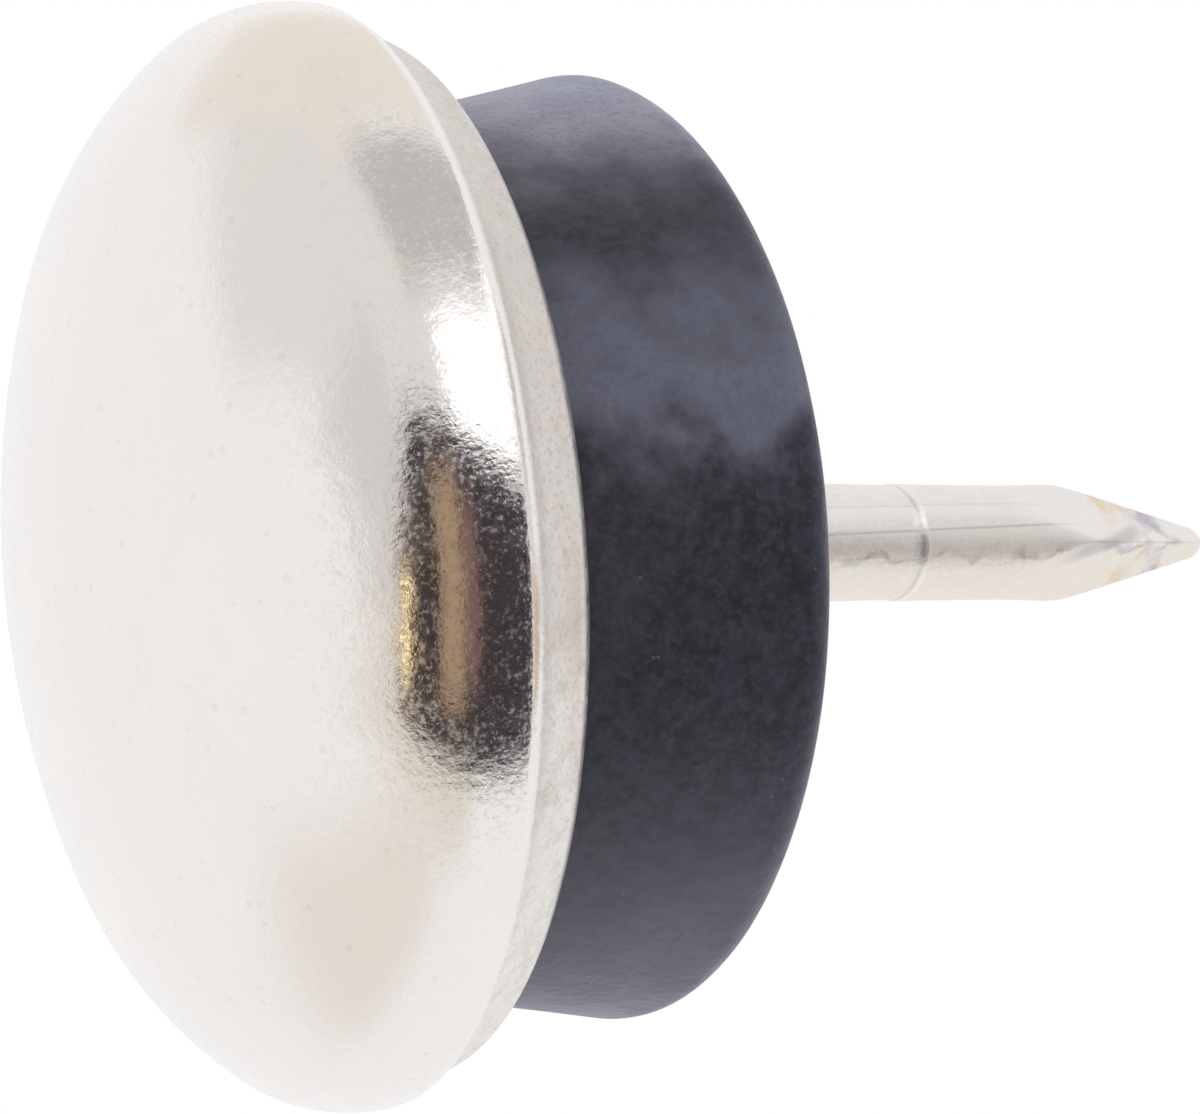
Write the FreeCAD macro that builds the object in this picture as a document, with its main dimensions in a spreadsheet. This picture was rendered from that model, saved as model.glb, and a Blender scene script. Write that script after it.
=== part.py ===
import FreeCAD, Part
import math
import os

import Sketcher
from FreeCAD import Vector as V

# Nail-on furniture glide, standing on the crown of its cap with the nail pointing up.
# A stamped steel cap is rolled over the foot of a rubber cushion. A flat-headed nail with a washer
# on its head runs up through the cushion. Every section is turned about the Z axis, and the origin
# is the middle of the crown. Lengths are in millimetres and angles in degrees.

doc = FreeCAD.newDocument("furniture_glide")
sheet = doc.addObject("Spreadsheet::Sheet", "Sizes")

DRIVING = [
    ("cap_diameter", 25.0, "across the dome at its widest"),
    ("dome_depth", 6.05, "crown to the widest line of the dome"),
    ("crown_flat", 0.035, "how much the middle of the crown is flattened"),
    ("crown_turn", 19.0, "slope of the dome where the crown's arc meets the haunch's"),
    ("haunch_turn", 47.0, "slope of the dome where the haunch's arc meets the shoulder's"),
    ("shoulder_radius", 3.3, "radius of the shoulder's arc"),
    ("cap_sheet", 0.5, "thickness of the cap's sheet steel"),
    ("fold_radius", 0.5, "outer radius where the wall folds in above the dome"),
    ("fold_turn", 33.0, "lean of the wall above the fold"),
    ("valley_rise", 0.75, "widest line of the dome up to the valley below the rolled rim"),
    ("rim_step", 0.5, "the dome's widest line in to the rolled rim's, on the radius"),
    ("rim_rise", 1.09, "widest line of the dome up to the middle of the rolled rim"),
    ("rim_radius", 0.55, "radius of the rolled rim in section"),
    ("lip_width", 1.75, "the rolled rim in to the opening inside its lip, on the radius"),
    ("cushion_height", 6.3, "middle of the rolled rim to the cushion's seat"),
    ("seat_step", 0.65, "the dome's widest line in to the seat's edge before it is rounded, on the radius"),
    ("seat_round", 0.7, "rounding of the seat's outer edge"),
    ("cushion_gap", 0.05, "gap between the cushion and the cap"),
    ("bore_gap", 0.05, "gap between the nail and the cushion's bore, on the radius"),
    ("washer_diameter", 14.0, "across the washer"),
    ("washer_sheet", 0.8, "thickness of the washer"),
    ("washer_gap", 0.1, "gap between the nail and the washer's hole, on the radius"),
    ("head_diameter", 8.0, "across the nail's head"),
    ("head_height", 1.3, "thickness of the nail's head"),
    ("head_gap", 0.02, "gap between the head's rim and the inside of the crown"),
    ("nail_diameter", 3.31, "across the nail's shank"),
    ("nail_reach", 22.5, "cushion's seat to the nail's tip"),
    ("grip_step", 0.03, "how much thinner the shank is where the heading die gripped it, on the radius"),
    ("mark_height", 5.6, "cushion's seat to the ring left at the mouth of that die"),
    ("mark_lip", 0.015, "how far the ring stands out of the shank"),
    ("mark_fade", 0.6, "length over which the ring runs out into the shank"),
    ("point_height", 6.2, "length of the four pinched flats"),
    ("tip_width", 0.7, "across the flats at the blunt tip"),
    ("tip_round", 0.2, "rounding of the blunt tip"),
    ("point_turn", 45.0, "turn of the first flat from the X axis"),
]

# Worked out from the sizes above, as formulas in the same sheet.
DERIVED = [
    ("cap_half", "cap_diameter / 2"),
    ("inner_half", "cap_half - cap_sheet"),
    ("crown_sin", "sin(crown_turn * 1 deg)"),
    ("crown_cos", "cos(crown_turn * 1 deg)"),
    ("haunch_sin", "sin(haunch_turn * 1 deg)"),
    ("haunch_cos", "cos(haunch_turn * 1 deg)"),
    ("shoulder_half", "cap_half - shoulder_radius"),
    ("haunch_edge_half", "shoulder_half + shoulder_radius * haunch_sin"),
    ("haunch_edge", "dome_depth - shoulder_radius * haunch_cos"),
    ("arcs_rise", "haunch_edge + crown_flat"),
    ("arcs_share", "crown_sin * (crown_cos - haunch_cos) - (haunch_sin - crown_sin) * (1 - crown_cos)"),
    ("crown_radius",
     "(haunch_edge_half * (crown_cos - haunch_cos) - arcs_rise * (haunch_sin - crown_sin)) / arcs_share"),
    ("haunch_radius", "(crown_sin * arcs_rise - (1 - crown_cos) * haunch_edge_half) / arcs_share"),
    ("crown_middle", "crown_radius - crown_flat"),
    ("flat_half", "sqrt(crown_radius ^ 2 - crown_middle ^ 2)"),
    ("haunch_half", "(crown_radius - haunch_radius) * crown_sin"),
    ("haunch_middle", "crown_middle - (crown_radius - haunch_radius) * crown_cos"),
    ("crown_edge_half", "crown_radius * crown_sin"),
    ("crown_edge", "crown_middle - crown_radius * crown_cos"),
    ("inner_crown_half", "crown_edge_half - cap_sheet * crown_sin"),
    ("inner_crown", "crown_edge + cap_sheet * crown_cos"),
    ("inner_haunch_radius", "haunch_radius - cap_sheet"),
    ("inner_shoulder_radius", "shoulder_radius - cap_sheet"),
    ("fold_half", "cap_half - fold_radius"),
    ("fold_end_half", "fold_half + fold_radius * cos(fold_turn * 1 deg)"),
    ("fold_end", "dome_depth + fold_radius * sin(fold_turn * 1 deg)"),
    ("valley", "dome_depth + valley_rise"),
    ("valley_half", "fold_end_half - (valley - fold_end) * tan(fold_turn * 1 deg)"),
    ("rim_half", "cap_half - rim_step"),
    ("roll_half", "rim_half - rim_radius"),
    ("roll_middle", "dome_depth + rim_rise"),
    ("roll_top", "roll_middle + rim_radius"),
    ("lip_under", "roll_top - cap_sheet"),
    ("lip_half", "rim_half - lip_width"),
    ("neck_half", "valley_half - cap_sheet"),
    ("seat_height", "roll_middle + cushion_height"),
    ("seat_half", "cap_half - seat_step"),
    ("nail_half", "nail_diameter / 2"),
    ("grip_half", "nail_half - grip_step"),
    ("head_half", "head_diameter / 2"),
    ("washer_half", "washer_diameter / 2"),
    ("head_rest", "crown_middle - sqrt((crown_radius - cap_sheet) ^ 2 - head_half ^ 2)"),
    ("head_bottom", "head_rest + head_gap"),
    ("head_top", "head_bottom + head_height"),
    ("washer_top", "head_top + washer_sheet"),
    ("washer_hole_half", "grip_half + washer_gap"),
    ("flange_half", "neck_half - cushion_gap"),
    ("flange_top", "lip_under - cushion_gap"),
    ("waist_half", "lip_half - cushion_gap"),
    ("side_slope", "(seat_half - waist_half) / (seat_height - roll_top)"),
    ("side_foot_half", "waist_half - side_slope * (roll_top - flange_top)"),
    ("side_length", "sqrt(1 + side_slope ^ 2)"),
    ("edge_middle", "seat_height - seat_round"),
    ("edge_start", "edge_middle - seat_round * side_slope / side_length"),
    ("edge_start_half", "waist_half + side_slope * (edge_start - roll_top)"),
    ("edge_half", "edge_start_half - seat_round / side_length"),
    ("bore_half", "grip_half + bore_gap"),
    ("tip_height", "seat_height + nail_reach"),
    ("mark_level", "seat_height + mark_height"),
    ("mark_half", "nail_half + mark_lip"),
    ("mark_end", "mark_level + mark_fade"),
    ("point_start", "tip_height - point_height"),
    ("tip_half", "tip_width / 2"),
]

# Small curls and the hidden inner wall are drawn as short flats between corners on a circle. Each entry
# is a name, the circle's centre and radius, and the corners' turns in degrees from the outward direction.
CURLS = {
    "roll": ("roll_half", "roll_middle", "rim_radius", (15, 52)),
    "inner_shoulder": ("shoulder_half", "dome_depth", "inner_shoulder_radius", (-28,)),
    "inner_haunch": ("haunch_half", "haunch_middle", "inner_haunch_radius", (-52,)),
    "edge": ("edge_half", "edge_middle", "seat_round", (37,)),
}
for name, (across, up, radius, turns) in CURLS.items():
    for corner, turn in enumerate(turns, 1):
        DERIVED.append((f"{name}_{corner}_half", f"{across} + {radius} * cos({turn} deg)"))
        DERIVED.append((f"{name}_{corner}_height", f"{up} + {radius} * sin({turn} deg)"))

for row, (alias, value, meaning) in enumerate(DRIVING, 1):
    sheet.set(f"A{row}", alias)
    sheet.set(f"B{row}", str(value))
    sheet.set(f"C{row}", meaning)
    sheet.setAlias(f"B{row}", alias)
for row, (alias, formula) in enumerate(DERIVED, len(DRIVING) + 2):
    sheet.set(f"A{row}", alias)
    sheet.set(f"B{row}", "=" + formula)
    sheet.setAlias(f"B{row}", alias)
doc.recompute()


def size(alias):
    """The present value of a named size."""
    return float(sheet.get(alias))


def origin_part(body, role):
    """The body's own origin plane or axis with this role."""
    return next(f for f in body.Origin.OriginFeatures if f.Role == role)


def new_body(label):
    body = doc.addObject("PartDesign::Body", label)
    body.Label = label
    return body


# A spot in a section is (radius, height), each the name of a size, or None where it lies on that axis.
X_AXIS, Y_AXIS = -1, -2
NEAR = 1e-4
START, END, CENTRE = 1, 2, 3


def point(spot):
    return V(*(size(term) if term else 0.0 for term in spot), 0)


def pin(sketch, edge, end, spot, kinds=("DistanceX", "DistanceY")):
    """Holds one point of an edge at a spot. Kinds may leave out one of the two directions."""
    for kind, term, axis in zip(("DistanceX", "DistanceY"), spot, (Y_AXIS, X_AXIS)):
        if kind not in kinds:
            continue
        if term is None:
            sketch.addConstraint(Sketcher.Constraint("PointOnObject", edge, end, axis))
        else:
            hold = Sketcher.Constraint(kind, X_AXIS, START, edge, end, size(term))
            sketch.setExpression(f"Constraints[{sketch.addConstraint(hold)}]", f"Sizes.{term}")


def add_line(sketch, start, end):
    """A straight edge. This and the next give the edge and its end points in drawing order."""
    return sketch.addGeometry(Part.LineSegment(point(start), point(end)), False), START, END


def add_arc(sketch, start, end, centre):
    """A round edge of less than half a turn about a centre."""
    middle = point(centre)
    a, b = point(start) - middle, point(end) - middle
    forward = a.cross(b).z > 0
    circle = Part.Circle(middle, V(0, 0, 1), a.Length)
    turns = [math.atan2(v.y, v.x) for v in ((a, b) if forward else (b, a))]
    edge = sketch.addGeometry(Part.ArcOfCircle(circle, *turns), False)
    pin(sketch, edge, CENTRE, centre, ("DistanceX",))
    return (edge, START, END) if forward else (edge, END, START)


def draw_section(body, name, steps):
    """Draws a closed section on the body's XZ plane. Each step is (spot,) for a straight edge to that
    spot, and (spot, centre) for a round one."""
    sketch = body.newObject("Sketcher::SketchObject", name)
    sketch.AttachmentSupport = (origin_part(body, "XZ_Plane"), [""])
    sketch.MapMode = "FlatFace"
    drawn = []
    for step, before in zip(steps, steps[-1:] + steps[:-1]):
        add_edge = add_arc if len(step) == 2 else add_line
        drawn.append(add_edge(sketch, before[0], *step))
    for (edge, _, last), (following, first, _), step in zip(drawn, drawn[1:] + drawn[:1], steps):
        sketch.addConstraint(Sketcher.Constraint("Coincident", edge, last, following, first))
        pin(sketch, edge, last, step[0])
    return sketch


def curl(name):
    """The steps over a curl's corners."""
    corners = range(1, len(CURLS[name][3]) + 1)
    return [((f"{name}_{corner}_half", f"{name}_{corner}_height"),) for corner in corners]


def turn_section(body, name, steps):
    """Turns a section about the body's Z axis into a solid."""
    sketch = draw_section(body, name + "_section", steps)
    turned = body.newObject("PartDesign::Revolution", name)
    turned.Profile = (sketch, [""])
    turned.ReferenceAxis = (sketch, ["V_Axis"])
    turned.Angle = 360
    doc.recompute()
    return turned


def round_edges(body, name, height, radius):
    """Fillets the body's level edges at a height."""
    base = body.Tip
    level = [f"Edge{i}" for i, edge in enumerate(base.Shape.Edges, 1)
             if not edge.Degenerated and edge.BoundBox.ZLength < NEAR
             and abs(edge.CenterOfMass.z - size(height)) < NEAR]
    rounded = body.newObject("PartDesign::Fillet", name)
    rounded.Base = (base, level)
    rounded.setExpression("Radius", f"Sizes.{radius}")
    doc.recompute()


# The cap is stamped from nickel-plated sheet steel. Its dome is three arcs that run smoothly into each
# other, crown, haunch and shoulder, round a small flat. Above its widest line the wall folds in to a shallow
# valley, runs on into a rolled rim, and turns in over the cushion's foot as a lip.
cap = new_body("glide_cap")
turn_section(cap, "stamped_sheet", [
    ((None, None),),
    (("flat_half", None),),
    (("crown_edge_half", "crown_edge"), (None, "crown_middle")),
    (("haunch_edge_half", "haunch_edge"), ("haunch_half", "haunch_middle")),
    (("cap_half", "dome_depth"), ("shoulder_half", "dome_depth")),
    (("fold_end_half", "fold_end"),),
    (("valley_half", "valley"),),
    *curl("roll"),
    (("roll_half", "roll_top"),),
    (("lip_half", "roll_top"),),
    (("lip_half", "lip_under"),),
    (("neck_half", "lip_under"),),
    (("inner_half", "dome_depth"),),
    *curl("inner_shoulder"),
    *curl("inner_haunch"),
    (("inner_crown_half", "inner_crown"),),
    (("head_half", "head_rest"),),
    ((None, "cap_sheet"),),
])

# The cushion is moulded from hard rubber. Its foot is a flange that the lip holds down, with a plug below
# it that bears on the washer. Above the lip it flares out to the seat, which meets the furniture.
cushion = new_body("rubber_cushion")
turn_section(cushion, "moulding", [
    (("bore_half", "washer_top"),),
    (("shoulder_half", "washer_top"),),
    (("shoulder_half", "dome_depth"),),
    (("flange_half", "dome_depth"),),
    (("flange_half", "flange_top"),),
    (("side_foot_half", "flange_top"),),
    (("edge_start_half", "edge_start"),),
    *curl("edge"),
    (("edge_half", "seat_height"),),
    (("bore_half", "seat_height"),),
])

# The washer is a plain flat steel ring between the nail's head and the cushion's plug.
washer = new_body("steel_washer")
turn_section(washer, "ring", [
    (("washer_hole_half", "head_top"),),
    (("washer_half", "head_top"),),
    (("washer_half", "washer_top"),),
    (("washer_hole_half", "washer_top"),),
])

# The nail is headed from steel wire. Its head rests inside the crown, and the die that gripped the wire
# has left a fine ring round the shank.
nail = new_body("nail")
turn_section(nail, "headed_wire", [
    ((None, "head_bottom"),),
    (("head_half", "head_bottom"),),
    (("head_half", "head_top"),),
    (("grip_half", "head_top"),),
    (("grip_half", "mark_level"),),
    (("mark_half", "mark_level"),),
    (("nail_half", "mark_end"),),
    (("nail_half", "tip_height"),),
    ((None, "tip_height"),),
])

# Four flats pinch the end to a blunt square point. Their outline reaches out past the shank.
flat = nail.newObject("PartDesign::Pocket", "first_flat")
flat.Profile = (draw_section(nail, "flat_outline", [
    (("nail_half", "point_start"),),
    (("nail_diameter", "point_start"),),
    (("nail_diameter", "tip_height"),),
    (("tip_half", "tip_height"),),
]), [""])
flat.Type = "ThroughAll"
flat.Midplane = True
doc.recompute()
flats = nail.newObject("PartDesign::PolarPattern", "four_flats")
flats.Originals = [flat]
flats.Axis = (origin_part(nail, "Z_Axis"), [""])
flats.Angle = 360
flats.Occurrences = 4
nail.Tip = flats
doc.recompute()
round_edges(nail, "tip_edges", "tip_height", "tip_round")
nail.Placement.Rotation = FreeCAD.Rotation(V(0, 0, 1), size("point_turn"))
nail.setExpression("Placement.Rotation.Angle", "Sizes.point_turn * 1 deg")
doc.recompute()

bodies = [cap, cushion, washer, nail]
for thing in doc.Objects:
    if {"Invalid", "Error"} & set(thing.State):
        raise RuntimeError(f"{thing.Label} didn't build: {thing.State}")
for body in bodies:
    if body.Shape.isNull() or not body.Shape.isValid() or len(body.Shape.Solids) != 1:
        raise RuntimeError(f"{body.Label} isn't one valid solid")

os.makedirs("parts", exist_ok=True)
for body in bodies:
    body.Shape.exportStep(f"parts/{body.Label}.step")
    box = body.Shape.optimalBoundingBox(False, False)
    print(f"{body.Label}: {body.Shape.Volume:.1f} cubic mm, height {box.ZMin:.2f} to {box.ZMax:.2f}")
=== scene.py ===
import math

import bpy
from mathutils import Matrix, Vector, noise


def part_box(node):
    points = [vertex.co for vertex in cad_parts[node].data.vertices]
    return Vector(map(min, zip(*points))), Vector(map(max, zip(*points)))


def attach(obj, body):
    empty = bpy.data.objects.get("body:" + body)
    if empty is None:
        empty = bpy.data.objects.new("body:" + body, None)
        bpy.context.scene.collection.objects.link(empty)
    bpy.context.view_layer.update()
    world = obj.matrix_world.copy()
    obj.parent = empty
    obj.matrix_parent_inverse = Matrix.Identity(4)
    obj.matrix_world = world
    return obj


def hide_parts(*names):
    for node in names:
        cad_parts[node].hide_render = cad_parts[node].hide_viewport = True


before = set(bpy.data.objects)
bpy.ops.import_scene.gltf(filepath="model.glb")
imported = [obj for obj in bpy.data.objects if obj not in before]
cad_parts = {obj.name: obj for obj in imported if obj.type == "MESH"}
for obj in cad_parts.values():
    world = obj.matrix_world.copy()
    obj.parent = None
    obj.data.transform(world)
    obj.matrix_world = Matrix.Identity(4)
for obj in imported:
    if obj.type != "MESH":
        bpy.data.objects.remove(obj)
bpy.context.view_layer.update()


# Glide cap: the domed foot that slides on the floor. It is stamped from sheet steel, nickel plated, and its
# edge is crimped and rolled over the foot of the rubber cushion. The plating has a fine orange-peel grain.
MM = 0.001
cap_half, _, cap_top = Vector(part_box("glide_cap")[1])
dome_depth = 6.05 * MM
crown_flat = 0.035 * MM
crown_turn = 19.0
haunch_turn = 47.0
shoulder_radius = 3.3 * MM
sheet = 0.5 * MM
fold_radius = 0.5 * MM
fold_turn = math.radians(33)
valley_rise = 0.75 * MM
rim_half = cap_half - 0.5 * MM
rim_radius = 0.55 * MM
rim_turn = 15
lip_half = rim_half - 1.75 * MM
lip_corner = 0.06 * MM
dent_depth, dents_per_metre = 0.012 * MM, 260
ripple_depth, ripples_per_metre = 0.03 * MM, 420

# The arcs of crown, haunch and shoulder meet without a corner, so the radii of the first two follow.
crown_sin, crown_cos = math.sin(math.radians(crown_turn)), math.cos(math.radians(crown_turn))
haunch_sin, haunch_cos = math.sin(math.radians(haunch_turn)), math.cos(math.radians(haunch_turn))
arcs_width = cap_half - shoulder_radius * (1 - haunch_sin)
arcs_rise = dome_depth - shoulder_radius * haunch_cos + crown_flat
divisor = crown_sin * (crown_cos - haunch_cos) - (haunch_sin - crown_sin) * (1 - crown_cos)
crown_radius = (arcs_width * (crown_cos - haunch_cos) - arcs_rise * (haunch_sin - crown_sin)) / divisor
haunch_radius = (crown_sin * arcs_rise - (1 - crown_cos) * arcs_width) / divisor
crown_middle = (0, crown_radius - crown_flat)
flat_turn = math.degrees(math.acos(crown_middle[1] / crown_radius))
middles_apart = crown_radius - haunch_radius
haunch_middle = (middles_apart * crown_sin, crown_middle[1] - middles_apart * crown_cos)
shoulder_middle = (cap_half - shoulder_radius, dome_depth)
fold_middle = (cap_half - fold_radius, dome_depth)
fold_rise = fold_radius * math.sin(fold_turn)
fold_end = (fold_middle[0] + fold_radius * math.cos(fold_turn), dome_depth + fold_rise)
valley_half = fold_end[0] - (dome_depth + valley_rise - fold_end[1]) * math.tan(fold_turn)
neck_half = valley_half - sheet
rim_middle = (rim_half - rim_radius, cap_top - rim_radius)


def arc(middle, radius, first, last, steps):
    """Points on a circle in the section plane, between two turns in degrees from the outward direction."""
    turns = [math.radians(first + (last - first) * i / steps) for i in range(steps + 1)]
    return [(middle[0] + radius * math.cos(t), middle[1] + radius * math.sin(t)) for t in turns]


def run(start, end, steps):
    """Evenly spaced points between two corners, without the corners themselves."""
    return [tuple(a + (b - a) * i / steps for a, b in zip(start, end)) for i in range(1, steps)]


def bend(start, corner, end, steps):
    """Points on a soft bend that leaves start towards the corner and meets end from it, without start."""
    shares = [i / steps for i in range(1, steps + 1)]
    return [tuple((1 - s) ** 2 * a + 2 * s * (1 - s) * b + s * s * c for a, b, c in zip(start, corner, end))
            for s in shares]


rim_roll = arc(rim_middle, rim_radius, rim_turn, 90, 20)
section = [(0, 0)]
section += arc(crown_middle, crown_radius, flat_turn - 90, crown_turn - 90, 30)
section += arc(haunch_middle, haunch_radius, crown_turn - 90, haunch_turn - 90, 24)[1:]
section += arc(shoulder_middle, shoulder_radius, haunch_turn - 90, 0, 30)[1:]
section += arc(fold_middle, fold_radius, 0, math.degrees(fold_turn), 8)[1:]
section += bend(fold_end, (valley_half, dome_depth + valley_rise), rim_roll[0], 14)
section += rim_roll[1:]
section += run((rim_middle[0], cap_top), (lip_half + lip_corner, cap_top), 5)
section += arc((lip_half + lip_corner, cap_top - lip_corner), lip_corner, 90, 180, 4)
section += [(lip_half, cap_top - sheet), (neck_half, cap_top - sheet)]
section += arc(shoulder_middle, shoulder_radius - sheet, 0, haunch_turn - 90, 12)
section += arc(haunch_middle, haunch_radius - sheet, haunch_turn - 90, crown_turn - 90, 10)[1:]
section += arc(crown_middle, crown_radius - sheet, crown_turn - 90, -90, 10)[1:-1]
section += [(0, sheet)]


def turned(name, section, sides, crease, shaped):
    """A closed section of (radius, height) turned about Z, with every point shaped by the given function. A
    point at radius 0 becomes one vertex, and edges over the crease angle stay sharp."""
    verts, faces, rings = [], [], []
    for radius, height in section:
        ring = []
        for i in range(1 if radius == 0 else sides):
            turn = 2 * math.pi * i / sides
            ring.append(len(verts))
            verts.append(shaped(Vector((radius * math.cos(turn), radius * math.sin(turn), height))))
        rings.append(ring * sides if radius == 0 else ring)
    for lower, upper in zip(rings, rings[1:] + rings[:1]):
        for i in range(sides):
            j = (i + 1) % sides
            face = list(dict.fromkeys((lower[i], lower[j], upper[j], upper[i])))
            if len(face) > 2:
                faces.append(face)
    mesh = bpy.data.meshes.new(name)
    mesh.from_pydata(verts, [], faces)
    mesh.validate()
    mesh.shade_smooth()
    mesh.set_sharp_from_angle(angle=math.radians(crease))
    piece = bpy.data.objects.new(name, mesh)
    bpy.context.collection.objects.link(piece)
    return piece


def ramp(value, low, high):
    """How far a value has gone from low to high, kept between 0 and 1."""
    return max(0.0, min(1.0, (value - low) / (high - low)))


def drawn_in(spot, depth):
    """The spot moved by a depth towards the middle line."""
    flat = math.hypot(spot.x, spot.y)
    kept = 1 - depth / flat if flat else 1.0
    return Vector((spot.x * kept, spot.y * kept, spot.z))


def pressed(spot):
    """The press and the rolling tool leave the sheet a little uneven, always inside its true form."""
    dent = 0.5 + 0.5 * noise.noise(spot * dents_per_metre)
    ripple = 0.5 + 0.5 * noise.noise(Vector((spot.x, spot.y, 0)) * ripples_per_metre)
    on_rim = ramp(spot.z, dome_depth, dome_depth + fold_radius)
    return drawn_in(spot, dent_depth * dent + ripple_depth * on_rim * ripple)


cap = turned("plated_cap", section, sides=320, crease=50, shaped=pressed)


def add(tree, kind, **inputs):
    """Adds a shader node. A keyword sets the input or the setting of that name, and a socket given as the
    value is linked. Inputs are named as in the node, with _ for a space, or by number as in in_0."""
    node = tree.nodes.new(kind)
    for name, value in inputs.items():
        if hasattr(node, name) and not name.startswith("in_"):
            setattr(node, name, value)
            continue
        key = int(name[3:]) if name.startswith("in_") else name.replace("_", " ")
        if isinstance(value, bpy.types.NodeSocket):
            tree.links.new(value, node.inputs[key])
        else:
            node.inputs[key].default_value = value
    return node


def maths(tree, operation, *values):
    """The result of a Math node."""
    inputs = {f"in_{i}": value for i, value in enumerate(values)}
    return add(tree, "ShaderNodeMath", operation=operation, **inputs).outputs[0]


def times(tree, *values):
    """All values multiplied together."""
    product = values[0]
    for value in values[1:]:
        product = maths(tree, "MULTIPLY", product, value)
    return product


def fade(tree, value, low, high, start=0.0, end=1.0):
    """A smooth step from start to end as the value runs from low to high."""
    return add(tree, "ShaderNodeMapRange", interpolation_type="SMOOTHSTEP", Value=value, From_Min=low,
               From_Max=high, To_Min=start, To_Max=end).outputs[0]


def stripe(tree, value, rising, falling):
    """1 between two soft steps. Each step is given by the values where it starts and ends."""
    return times(tree, fade(tree, value, *rising), fade(tree, value, *falling, 1.0, 0.0))


def blend(tree, share, first, second):
    """Two colours mixed by a share from 0 to 1."""
    return add(tree, "ShaderNodeMix", data_type="RGBA", in_0=share, in_6=first, in_7=second).outputs[2]


def tinted(tree, colour, mask, strength, tint):
    """A colour with a tint over it where the mask shows, as strong as given."""
    return blend(tree, times(tree, mask, strength), colour, tint)


def new_effect(name, output, inputs):
    """An empty node group with one named output and with inputs given as (name, default). An input without
    a default is a place."""
    group = bpy.data.node_groups.new(name, "ShaderNodeTree")
    for label, default in inputs:
        kind = "NodeSocketVector" if default is None else "NodeSocketFloat"
        socket = group.interface.new_socket(name=label, in_out="INPUT", socket_type=kind)
        if default is not None:
            socket.default_value = default
    group.interface.new_socket(name=output, in_out="OUTPUT", socket_type="NodeSocketFloat")
    return group, group.nodes.new("NodeGroupInput").outputs, group.nodes.new("NodeGroupOutput").inputs


def use_effect(tree, group, **inputs):
    """Places an effect in a material with its own values, and gives its result."""
    node = tree.nodes.new("ShaderNodeGroup")
    node.node_tree = group
    for name, value in inputs.items():
        if isinstance(value, bpy.types.NodeSocket):
            tree.links.new(value, node.inputs[name])
        else:
            node.inputs[name].default_value = value
    return node.outputs[0]


# Grain: the fine unevenness of a plated, moulded or drawn surface. Scale counts grains per metre.
grain, g_in, g_out = new_effect("grain", "Height", [("Place", None), ("Scale", 4000.0), ("Detail", 2.0)])
cloud = add(grain, "ShaderNodeTexNoise", Vector=g_in["Place"], Scale=g_in["Scale"],
            Detail=g_in["Detail"], Roughness=0.55)
grain.links.new(cloud.outputs["Fac"], g_out["Height"])

# Blotches: soft uneven patches, such as stains, bloom on rubber or thin plating. Cover is the level above
# which they show, and Edge is how softly they start.
blotches, g_in, g_out = new_effect("blotches", "Mask", [
    ("Place", None), ("Scale", 300.0), ("Cover", 0.5), ("Edge", 0.1), ("Detail", 4.0),
])
cloud = add(blotches, "ShaderNodeTexNoise", Vector=g_in["Place"], Scale=g_in["Scale"],
            Detail=g_in["Detail"], Roughness=0.6)
full = maths(blotches, "ADD", g_in["Cover"], g_in["Edge"])
mask = fade(blotches, cloud.outputs["Fac"], g_in["Cover"], full)
blotches.links.new(mask, g_out["Mask"])

# Specks: small separate round marks, such as pits or lint. Size is a share of their spacing, and Share is
# how many of the places hold one.
specks, g_in, g_out = new_effect("specks", "Mask", [
    ("Place", None), ("Scale", 2000.0), ("Size", 0.2), ("Share", 0.3),
])
cells = add(specks, "ShaderNodeTexVoronoi", Vector=g_in["Place"], Scale=g_in["Scale"])
dot = maths(specks, "LESS_THAN", cells.outputs["Distance"], g_in["Size"])
pick = add(specks, "ShaderNodeSeparateColor", in_0=cells.outputs["Color"]).outputs[0]
kept = maths(specks, "LESS_THAN", pick, g_in["Share"])
specks.links.new(times(specks, dot, kept), g_out["Mask"])


def new_material(name):
    """A node material with its surface shader and the place on the piece."""
    material = bpy.data.materials.new(name)
    material.use_nodes = True
    tree = material.node_tree
    shader = next(n for n in tree.nodes if n.type == "BSDF_PRINCIPLED")
    return material, tree, shader, tree.nodes.new("ShaderNodeTexCoord").outputs["Object"]


def split(tree, place):
    """The X, Y and Z of a place."""
    return add(tree, "ShaderNodeSeparateXYZ", in_0=place).outputs


def join(tree, source, shader, name):
    """Links a result to an input of the surface shader."""
    tree.links.new(source, shader.inputs[name])


nickel = (0.855, 0.825, 0.81, 1)
stained_nickel = (0.875, 0.835, 0.80, 1)
clouded_nickel = (0.82, 0.79, 0.76, 1)
# The next two are the rim's colour in painted shade and in painted light.
rim_in_painted_shade = (0.66, 0.62, 0.585, 1)
rim_in_painted_light = (0.81, 0.78, 0.76, 1)
rosy = (0.73, 0.64, 0.59, 1)
greenish = (0.68, 0.69, 0.62, 1)
rim_frost = (0.50, 0.46, 0.43, 1)
pit_grey = (0.5, 0.47, 0.45, 1)

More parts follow.
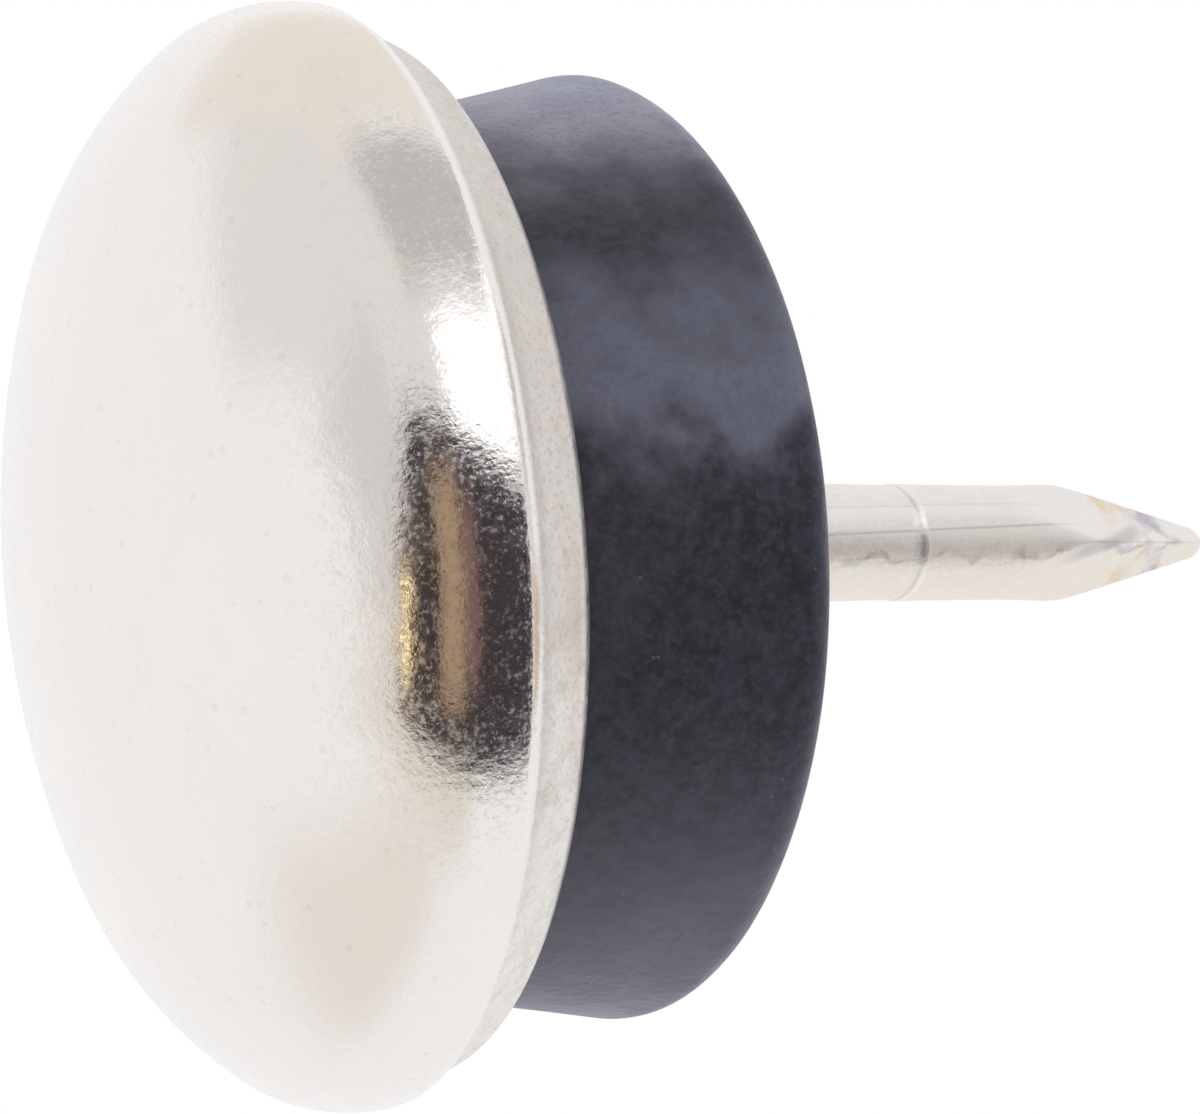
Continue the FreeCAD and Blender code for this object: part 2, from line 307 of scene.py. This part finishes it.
material, tree, shader, place = new_material("nickel_plate")
sideways, _, up = split(tree, place)
peel = use_effect(tree, grain, Place=place, Scale=4200.0, Detail=3.0)
fine = use_effect(tree, grain, Place=place, Scale=14000.0, Detail=2.0)
stains = use_effect(tree, blotches, Place=place, Scale=420.0, Cover=0.5, Edge=0.22, Detail=5.0)
clouds = use_effect(tree, blotches, Place=place, Scale=900.0, Cover=0.52, Edge=0.2, Detail=6.0)
pits = use_effect(tree, specks, Place=place, Scale=2600.0, Size=0.22, Share=0.16)
frost = use_effect(tree, blotches, Place=place, Scale=11000.0, Cover=0.46, Edge=0.24, Detail=2.0)
rosy_spots = use_effect(tree, blotches, Place=place, Scale=1300.0, Cover=0.5, Edge=0.12, Detail=3.0)
green_spots = use_effect(tree, blotches, Place=place, Scale=1700.0, Cover=0.56, Edge=0.08, Detail=2.0)
colour = blend(tree, stains, nickel, stained_nickel)
colour = tinted(tree, colour, clouds, 0.4, clouded_nickel)

# The rolled rim is duller than the dome. Its colour is painted darker towards one side and lighter towards
# the other, as shade and light in its reflection.
on_rim = fade(tree, up, dome_depth + 0.12 * MM, dome_depth + 0.32 * MM)
rim = blend(tree, fade(tree, sideways, -7 * MM, 3 * MM), rim_in_painted_shade, rim_in_painted_light)
rim = tinted(tree, rim, rosy_spots, 0.5, rosy)
rim = tinted(tree, rim, green_spots, 0.6, greenish)
rim = tinted(tree, rim, frost, 0.22, rim_frost)
colour = blend(tree, on_rim, colour, rim)
colour = tinted(tree, colour, pits, 0.15, pit_grey)
join(tree, colour, shader, "Base Color")
shader.inputs["Metallic"].default_value = 1.0
dullness = maths(tree, "MULTIPLY_ADD", on_rim, 0.2, fade(tree, peel, 0.3, 0.7, 0.10, 0.18))
join(tree, maths(tree, "MULTIPLY_ADD", frost, 0.17, dullness), shader, "Roughness")
height = maths(tree, "MULTIPLY_ADD", fine, 0.35, peel)
bump = add(tree, "ShaderNodeBump", Strength=0.26, Distance=0.03 * MM, Height=height)
join(tree, bump.outputs[0], shader, "Normal")
cap.data.materials.append(material)
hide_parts("glide_cap")
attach(cap, "root")


# Rubber cushion: a moulded block of hard dark rubber that takes the knocks between the leg and the floor.
# Its foot is held under the cap's rim, and its side flares to a flat seat with a rounded edge. It has a
# matt skin with bloom, lint and small moulding pits.
foot_level, seat_level = (Vector(corner).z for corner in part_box("rubber_cushion"))
clearance = 0.05 * MM
bore_half = 1.675 * MM
seat_half = cap_half - 0.65 * MM
seat_round = 0.7 * MM
waist_half = lip_half - clearance
plug_half = cap_half - shoulder_radius
flange_half = neck_half - clearance
flange_top = cap_top - sheet - clearance
slope = (seat_half - waist_half) / (seat_level - cap_top)
flare = math.atan(slope)
edge_start = seat_level - seat_round - seat_round * math.sin(flare)
edge_middle = waist_half + slope * (edge_start - cap_top) - seat_round * math.cos(flare)
wave_depth, waves_per_metre, wave_offset = 0.05 * MM, 330, Vector((3.0, 1.0, 2.0))

section = [(bore_half, foot_level), (plug_half, foot_level), (plug_half, dome_depth)]
section += [(flange_half, dome_depth), (flange_half, flange_top)]
section += [(waist_half - slope * (cap_top - flange_top), flange_top), (waist_half, cap_top)]
section += run((waist_half, cap_top), (edge_middle + seat_round * math.cos(flare), edge_start), 30)
section += arc((edge_middle, seat_level - seat_round), seat_round, -math.degrees(flare), 90, 16)
section += run((edge_middle, seat_level), (bore_half, seat_level), 24)
section += [(bore_half, seat_level)]


def moulded(spot):
    """The skin of the rubber waves a little between its edges, always inside its true form."""
    shown = spot.z > cap_top and math.hypot(spot.x, spot.y) > 3 * bore_half
    wave = 0.5 + 0.5 * noise.noise(spot * waves_per_metre + wave_offset)
    return drawn_in(spot, wave_depth * wave if shown else 0.0)


cushion = turned("moulded_cushion", section, sides=256, crease=40, shaped=moulded)

deep_rubber = (0.013, 0.014, 0.026, 1)
plain_rubber = (0.029, 0.030, 0.049, 1)
bloom_grey = (0.065, 0.067, 0.085, 1)
# The next two blues are painted sheen, where the rubber reflects bright light.
streak_sheen_blue = (0.19, 0.20, 0.28, 1)
end_sheen_blue = (0.33, 0.34, 0.44, 1)
sand_grey = (0.075, 0.078, 0.10, 1)
lint_grey = (0.22, 0.22, 0.24, 1)
pit_black = (0.010, 0.010, 0.014, 1)

material, tree, shader, place = new_material("cushion_rubber")
sideways, deep, up = split(tree, place)
skin = use_effect(tree, grain, Place=place, Scale=3000.0, Detail=5.0)
coarse = use_effect(tree, grain, Place=place, Scale=700.0, Detail=4.0)
bloom = use_effect(tree, blotches, Place=place, Scale=190.0, Cover=0.48, Edge=0.25, Detail=6.0)
lint = use_effect(tree, specks, Place=place, Scale=2600.0, Size=0.09, Share=0.12)
sand = use_effect(tree, blotches, Place=place, Scale=7000.0, Cover=0.45, Edge=0.25, Detail=2.0)
pits = use_effect(tree, specks, Place=place, Scale=1700.0, Size=0.10, Share=0.12)
colour = blend(tree, fade(tree, skin, 0.35, 0.65), deep_rubber, plain_rubber)
colour = tinted(tree, colour, bloom, 0.4, bloom_grey)

# Painted sheen: the front of the flared side is painted lighter and bluer in a streak above its middle and
# towards both ends, standing in for the bright light it reflects.
facing = fade(tree, maths(tree, "MULTIPLY_ADD", coarse, 4 * MM, deep), -1 * MM, 5 * MM, 1.0, 0.0)
flank = fade(tree, up, seat_level - 0.6 * MM, seat_level - 0.1 * MM, 1.0, 0.0)
front_flank = maths(tree, "MULTIPLY_ADD", times(tree, facing, flank), 0.9, 0.1)
drift = maths(tree, "MULTIPLY_ADD", coarse, 5 * MM, sideways)
sheen_streak = stripe(tree, drift, (-4.6 * MM, -1 * MM), (-1 * MM, 1.3 * MM))
drift = maths(tree, "MULTIPLY_ADD", coarse, 2 * MM, sideways)
sheen_ends = maths(tree, "ADD", fade(tree, drift, -9.6 * MM, -5.6 * MM, 1.0, 0.0),
              fade(tree, drift, 3.5 * MM, 12 * MM, 0.0, 0.32))
colour = blend(tree, times(tree, sheen_streak, front_flank, 0.7), colour, streak_sheen_blue)
colour = blend(tree, times(tree, sheen_ends, front_flank), colour, end_sheen_blue)
colour = tinted(tree, colour, sand, 0.3, sand_grey)
colour = tinted(tree, colour, lint, 0.35, lint_grey)
colour = tinted(tree, colour, pits, 0.4, pit_black)
join(tree, colour, shader, "Base Color")
shader.inputs["Specular IOR Level"].default_value = 0.4
shader.inputs["Sheen Weight"].default_value = 0.45
shader.inputs["Sheen Roughness"].default_value = 0.35
shader.inputs["Sheen Tint"].default_value = (0.76, 0.79, 1.0, 1)
join(tree, fade(tree, coarse, 0.3, 0.7, 0.5, 0.68), shader, "Roughness")
height = maths(tree, "SUBTRACT", maths(tree, "MULTIPLY_ADD", coarse, 1.2, skin), pits)
bump = add(tree, "ShaderNodeBump", Strength=0.5, Distance=0.06 * MM, Height=height)
join(tree, bump.outputs[0], shader, "Normal")
cushion.data.materials.append(material)
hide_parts("rubber_cushion")
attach(cushion, "root")


# Nail: headed from drawn steel wire and nickel plated. The heading die has left a fine ring and a seam
# along the shank. The point is pinched to four flats, which swells it a little and leaves it slightly bent.
head_level, tip_level = (Vector(corner).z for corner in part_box("nail"))
nail_half = 1.655 * MM
grip_half = nail_half - 0.03 * MM
head_half = 4.0 * MM
head_top = head_level + 1.3 * MM
ring_level = seat_level + 10.2 * MM
ring_low = ring_level - 0.08 * MM
ring_high = ring_level + 0.04 * MM
even_level = ring_level + 0.6 * MM
swell_level = tip_level - 5.8 * MM
shank_swell = 0.06 * MM
pinch_swell, pinch_spread = 0.08 * MM, 1.3 * MM
point_taper = 0.239
edge_softness = 18
tip_round, tip_draw = 0.3 * MM, 0.2 * MM
bend_slope = 0.042
bend_start = seat_level + 8 * MM
bend_middle = seat_level + 11 * MM

section = [(0, head_level), (head_half, head_level), (head_half, head_top), (grip_half, head_top)]
section += run((grip_half, head_top), (grip_half, ring_low), 60)
section += [(grip_half, ring_low), (nail_half, ring_high)]
section += run((nail_half, ring_high), (nail_half, even_level), 6)
section += run((nail_half, even_level), (nail_half, tip_level - tip_round), 110)
section += [(nail_half, tip_level - tip_round * (1 - math.sin(math.pi / 2 * i / 8))) for i in range(9)]
section += [(nail_half * i / 6, tip_level) for i in (2, 1, 0)]


def bent(height):
    """How far the middle of the nail lies out of true at a height. It is true where it leaves the seat."""
    start = ramp(height, seat_level, bend_start)
    return bend_slope * (height - bend_middle) * start * start * (3 - 2 * start)


def pinched(spot):
    """Presses four flats into the end of the wire, with soft edges, and lets it swell and bend there."""
    flat, turn = math.hypot(spot.x, spot.y), math.atan2(spot.y, spot.x)
    if spot.z < ring_level or flat == 0:
        return Vector((bent(spot.z) + spot.x, spot.y, spot.z))
    swell = shank_swell * ramp(spot.z, ring_level, swell_level) ** 2
    swell += pinch_swell * math.exp(-((spot.z - swell_level) / pinch_spread) ** 2)
    corner = nail_half + shank_swell + pinch_swell - point_taper * (spot.z - swell_level)
    end = ramp(spot.z, tip_level - tip_round, tip_level)
    reach = corner / math.sqrt(2) - tip_draw * (1 - math.sqrt(1 - end ** 2))
    flats = sum(max(0.0, math.cos(turn - math.radians(45 + 90 * k))) ** edge_softness for k in range(4))
    wire = 1 / (nail_half + swell) ** edge_softness
    half = (flats / reach ** edge_softness + wire) ** (-1 / edge_softness) * flat / nail_half
    return Vector((bent(spot.z) + half * math.cos(turn), half * math.sin(turn), spot.z))


nail = turned("headed_nail", section, sides=160, crease=40, shaped=pinched)

bright_wire = (0.83, 0.80, 0.78, 1)
tarnished_wire = (0.80, 0.71, 0.60, 1)
cream = (0.84, 0.765, 0.67, 1)
mark_grey = (0.46, 0.43, 0.41, 1)
golden = (0.80, 0.66, 0.50, 1)
violet = (0.52, 0.48, 0.54, 1)
# Painted shade: the grey of the band along the point's rounded corner.
painted_ridge_shade = (0.40, 0.385, 0.38, 1)
seam_grey = (0.42, 0.40, 0.40, 1)
ring_bright = (0.95, 0.93, 0.91, 1)

material, tree, shader, place = new_material("nail_steel")
sideways, deep, up = split(tree, place)
fine = use_effect(tree, grain, Place=place, Scale=6000.0, Detail=3.0)
waver = use_effect(tree, grain, Place=place, Scale=700.0, Detail=4.0)
stretched = add(tree, "ShaderNodeMapping", Vector=place, Scale=(1.0, 1.0, 0.04)).outputs[0]
draw_lines = use_effect(tree, grain, Place=stretched, Scale=9000.0, Detail=2.0)
tarnish = use_effect(tree, blotches, Place=place, Scale=600.0, Cover=0.5, Edge=0.3, Detail=5.0)
gold_cloud = use_effect(tree, blotches, Place=place, Scale=700.0, Cover=0.46, Edge=0.2, Detail=4.0)
burnt_cloud = use_effect(tree, blotches, Place=place, Scale=800.0, Cover=0.37, Edge=0.25, Detail=3.0)
colour = tinted(tree, bright_wire, tarnish, 0.35, tarnished_wire)

# One side of the shank is cream, with small dark marks along it where the plating is thin.
drift = maths(tree, "MULTIPLY_ADD", waver, 1.4 * MM, sideways)
creamy = times(tree, fade(tree, drift, 1.15 * MM, 1.45 * MM), fade(tree, fine, 0.3, 0.7, 0.4, 0.85))
marks = times(tree, stripe(tree, drift, (0.95 * MM, 1.15 * MM), (1.15 * MM, 1.3 * MM)),
              fade(tree, deep, -1 * MM, 0, 1.0, 0.2), burnt_cloud)
colour = blend(tree, creamy, colour, cream)
colour = tinted(tree, colour, marks, 0.7, mark_grey)

# Two tints run round the point, first golden and then violet. Each has its two ends below the tip in mm.
drift = maths(tree, "MULTIPLY_ADD", waver, 2.4 * MM, up)
tint_edge = 0.7 * MM
for start, end, cloud, tint in ((4.0, 1.4, gold_cloud, golden), (2.2, 0.2, burnt_cloud, violet)):
    low, high = tip_level - start * MM, tip_level - end * MM
    tint_band = stripe(tree, drift, (low, low + tint_edge), (high - tint_edge, high))
    colour = blend(tree, times(tree, tint_band, cloud), colour, tint)

# Painted shade: a grey band stands in for the dark reflection on the rounded corner between two flats, and
# runs at a slope across the front of the point.
ridge_slope = 0.2
ridge_place = ridge_slope * (tip_level - 6.94 * MM) + 0.65 * MM
across = maths(tree, "MULTIPLY_ADD", up, ridge_slope, sideways)
off_ridge = maths(tree, "ABSOLUTE", maths(tree, "SUBTRACT", across, ridge_place))
ridge_shade = times(tree, fade(tree, off_ridge, 0.06 * MM, 0.32 * MM, 0.55, 0.0),
              fade(tree, deep, -0.4 * MM, 0, 1.0, 0.0),
              fade(tree, up, tip_level - 7.6 * MM, tip_level - 6.2 * MM),
              fade(tree, up, tip_level - 4 * MM, tip_level - 3 * MM, 1.0, 0.0))
colour = blend(tree, ridge_shade, colour, painted_ridge_shade)

# The heading die leaves a fine ring, and its two halves leave a seam with a fainter one beside it.
ring = times(tree, fade(tree, up, ring_level - 0.2 * MM, ring_level - 0.1 * MM),
             fade(tree, up, ring_level - 0.06 * MM, ring_level, 0.3, 0.0),
             fade(tree, waver, 0.42, 0.6, 0.35, 1.0))
ring_edge = times(tree, fade(tree, up, ring_level - 0.04 * MM, ring_level + 0.04 * MM),
                  fade(tree, up, ring_level + 0.1 * MM, ring_level + 0.2 * MM, 0.5, 0.0))
front = maths(tree, "LESS_THAN", deep, 0.0)
lines = ring
for turn, strength in ((math.radians(11.5), 0.45), (math.radians(38), 0.18)):
    aside = maths(tree, "SUBTRACT", times(tree, sideways, math.cos(turn)),
                  times(tree, deep, math.sin(turn)))
    seam = fade(tree, maths(tree, "ABSOLUTE", aside), 0.02 * MM, 0.05 * MM, 1.0, 0.0)
    seam = times(tree, seam, fade(tree, up, swell_level - 3 * MM, swell_level, strength, 0.0), front)
    lines = maths(tree, "MAXIMUM", lines, seam)
colour = blend(tree, lines, colour, seam_grey)
colour = blend(tree, ring_edge, colour, ring_bright)
join(tree, colour, shader, "Base Color")
shader.inputs["Metallic"].default_value = 1.0
join(tree, fade(tree, fine, 0.3, 0.7, 0.30, 0.42), shader, "Roughness")
height = maths(tree, "MULTIPLY_ADD", draw_lines, 0.8, fine)
bump = add(tree, "ShaderNodeBump", Strength=0.3, Distance=0.03 * MM, Height=height)
join(tree, bump.outputs[0], shader, "Normal")
nail.data.materials.append(material)
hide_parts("nail")
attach(nail, "root")


# Washer: a plain punched steel ring that spreads the nail's pull over the rubber. It is hidden in the cap,
# between the nail's head and the foot of the cushion, so the solid itself stays and only gets its steel.
plain_steel = (0.55, 0.54, 0.52, 1)
oiled_steel = (0.45, 0.43, 0.40, 1)
material, tree, shader, place = new_material("washer_steel")
fine = use_effect(tree, grain, Place=place, Scale=5000.0, Detail=3.0)
oil = use_effect(tree, blotches, Place=place, Scale=500.0, Cover=0.5, Edge=0.2, Detail=4.0)
join(tree, blend(tree, oil, plain_steel, oiled_steel), shader, "Base Color")
shader.inputs["Metallic"].default_value = 1.0
join(tree, fade(tree, fine, 0.3, 0.7, 0.32, 0.48), shader, "Roughness")
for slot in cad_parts["steel_washer"].material_slots:
    slot.material = material


# Floor: a plain pale board that carries the object's soft shadow. It shows from above only and fades away
# round the object, so that it never meets the backdrop in an edge.
floor_half = 2.5
floor_gap = 0.02 * MM
fade_start, fade_end = 0.05, 0.35
pale_grey = (0.80, 0.80, 0.79, 1)
paler_grey = (0.84, 0.84, 0.83, 1)
corners = [(floor_half * x, floor_half * y, 0) for x, y in ((-1, -1), (1, -1), (1, 1), (-1, 1))]
floor_mesh = bpy.data.meshes.new("floor")
floor_mesh.from_pydata(corners, [], [(0, 1, 2, 3)])
floor = bpy.data.objects.new("floor", floor_mesh)
bpy.context.collection.objects.link(floor)
floor.location.z = -floor_gap
floor.visible_glossy = False
floor.visible_shadow = False

material, tree, shader, place = new_material("pale_floor")
cloudy = use_effect(tree, grain, Place=place, Scale=40.0, Detail=3.0)
join(tree, blend(tree, cloudy, pale_grey, paler_grey), shader, "Base Color")
shader.inputs["Roughness"].default_value = 0.7
clear = add(tree, "ShaderNodeBsdfTransparent").outputs[0]
under = tree.nodes.new("ShaderNodeNewGeometry").outputs["Backfacing"]
distance = add(tree, "ShaderNodeVectorMath", operation="LENGTH", in_0=place).outputs["Value"]
gone = maths(tree, "MAXIMUM", under, fade(tree, distance, fade_start, fade_end))
surface = add(tree, "ShaderNodeMixShader", in_0=gone, in_1=shader.outputs[0], in_2=clear).outputs[0]
output = next(n for n in tree.nodes if n.type == "OUTPUT_MATERIAL")
tree.links.new(surface, output.inputs["Surface"])
floor_mesh.materials.append(material)


# Light tent: a round white tent that only the object sees. Soft grey, cream, tan and dark windows in it
# give the plated metal its shades. The backdrop is plain white, and a small lamp adds a soft shadow.
bpy.ops.mesh.primitive_uv_sphere_add(segments=64, ring_count=32, radius=3.0)
tent = bpy.context.object
tent.name = "light_tent"
tent.visible_camera = False
tent.visible_shadow = False
tent.visible_transmission = False
material = bpy.data.materials.new("tent_light")
material.use_nodes = True
material.cycles.emission_sampling = "NONE"
tree = material.node_tree
tree.nodes.clear()
place = tree.nodes.new("ShaderNodeTexCoord").outputs["Object"]
outward = add(tree, "ShaderNodeVectorMath", operation="NORMALIZE", in_0=place).outputs[0]
sideways, deep, up = split(tree, outward)
side = times(tree, maths(tree, "ARCTAN2", sideways, times(tree, deep, -1.0)), math.degrees(1))
rise = times(tree, maths(tree, "ARCSINE", up), math.degrees(1))


def window(colour, side_span, rise_span, soft, tint, lean=0.0, slant=None):
    """Lays a soft-edged window over the tent's colour. The spans are in degrees to the side of the camera
    and above the floor. Lean moves the window's first side by so much for each degree of rise, and slant
    cuts its lower corner off along a slope through the given rise."""
    slid = maths(tree, "MULTIPLY_ADD", rise, -lean, side) if lean else side
    edges = [fade(tree, slid, side_span[0], side_span[0] + soft[0]),
             fade(tree, side, side_span[1] - soft[0], side_span[1], 1.0, 0.0),
             fade(tree, rise, rise_span[0], rise_span[0] + soft[1]),
             fade(tree, rise, rise_span[1] - soft[1], rise_span[1], 1.0, 0.0)]
    if slant:
        fall, start = slant
        edges.append(fade(tree, maths(tree, "MULTIPLY_ADD", side, fall, rise), start, start + soft[1]))
    return blend(tree, times(tree, *edges), colour, (*tint, 1))


colour = (0.98, 0.98, 0.98, 1)

# Pale greys and creams low down give the dome its broad soft shades.
colour = window(colour, (-132, 8), (-70, 0), (12, 12), (0.83, 0.815, 0.80))
colour = window(colour, (-15, 66), (-76, 0), (16, 14), (0.83, 0.79, 0.71))
colour = window(colour, (-75, 22), (-74, -42), (14, 7), (0.73, 0.715, 0.69))
colour = window(colour, (46, 134), (-66, -6), (26, 22), (0.88, 0.825, 0.76))
colour = window(colour, (-140, -90), (-27, 26), (6, 4), (0.90, 0.84, 0.77))

# Greys and bright windows beside the camera lie above the dark patch on the dome's edge.
colour = window(colour, (-92, -48), (-24, 33), (8, 8), (0.58, 0.56, 0.545))
colour = window(colour, (-60, -47), (-24, 28), (8, 8), (0.80, 0.78, 0.76))
colour = window(colour, (-47, -20), (-15, 28), (2, 4), (1.7, 1.7, 1.7))
colour = window(colour, (-64, -44), (21, 33), (4, 4), (1.4, 1.4, 1.4))

# Greys higher up shade the nail.
colour = window(colour, (-60, -10), (32, 56), (10, 8), (0.62, 0.60, 0.58))
colour = window(colour, (-22, 38), (30, 60), (10, 8), (0.82, 0.79, 0.77))

# A dark window makes the dark patch, with brown, tan and plum windows and two small warm lights inside it.
colour = window(colour, (-25, 42), (-60, 32), (5, 3), (0.05, 0.04, 0.045), 0.3, (0.62, -62))
colour = window(colour, (-27, 0), (-56, -42), (3, 2), (0.14, 0.105, 0.095), 0.2, (0.62, -61))
colour = window(colour, (-1, 42), (-60, -45), (3, 3), (0.10, 0.07, 0.05))
colour = window(colour, (-22, 31), (-34, -15), (6, 4), (0.44, 0.31, 0.19))
colour = window(colour, (-16, 26), (-17, -6), (6, 4), (0.24, 0.14, 0.13))
colour = window(colour, (1, 13), (-57, -50), (2, 2), (1.9, 1.5, 0.85))
colour = window(colour, (14, 31), (-57, -50), (2, 2), (1.9, 1.5, 0.85))

# Tan and rosy windows overhead draw a fine warm line along the cap's fold.
colour = window(colour, (0, 36), (36, 66), (6, 5), (0.62, 0.52, 0.38))
colour = window(colour, (4, 32), (62, 88), (6, 5), (0.72, 0.60, 0.56))
light = add(tree, "ShaderNodeEmission", Color=colour, Strength=1.0).outputs[0]
output = tree.nodes.new("ShaderNodeOutputMaterial")
tree.links.new(light, output.inputs["Surface"])
tent.data.materials.append(material)

world = bpy.data.worlds.new("white")
world.use_nodes = True
world.node_tree.nodes["Background"].inputs["Color"].default_value = (1, 1, 1, 1)
world.node_tree.nodes["Background"].inputs["Strength"].default_value = 1.0
bpy.context.scene.world = world

lamp_data = bpy.data.lights.new("overhead", "AREA")
lamp_data.size = 0.12
lamp_data.energy = 0.06
lamp = bpy.data.objects.new("overhead", lamp_data)
bpy.context.collection.objects.link(lamp)
lamp.location = (0.08, -0.05, 0.16)
lamp.rotation_euler = (-lamp.location).to_track_quat("-Z", "Y").to_euler()
lamp.visible_glossy = False


# Camera: low beside the cap and turned on its side, so that the nail points to the right of the picture.
# Its place, aim, lens and shift come from the outlines of the glide in the photograph.
camera_place = Vector((0, -40.205, -7.686)) * MM
aim_aside = math.radians(-6.503)
aim_up = math.radians(29.981)
tipped = math.radians(83.732)
camera_data = bpy.data.cameras.new("camera")
camera_data.sensor_width = 36.0
camera_data.lens = 53.1
camera_data.shift_x = -0.0467
camera_data.shift_y = 0.145
camera_data.clip_start = 1 * MM
camera = bpy.data.objects.new("camera", camera_data)
bpy.context.collection.objects.link(camera)
upright = Matrix.Rotation(aim_aside, 4, "Z") @ Matrix.Rotation(math.pi / 2 + aim_up, 4, "X")
camera.matrix_world = Matrix.Translation(camera_place) @ upright @ Matrix.Rotation(tipped, 4, "Z")
bpy.context.scene.camera = camera
bpy.context.scene.view_settings.view_transform = "Standard"
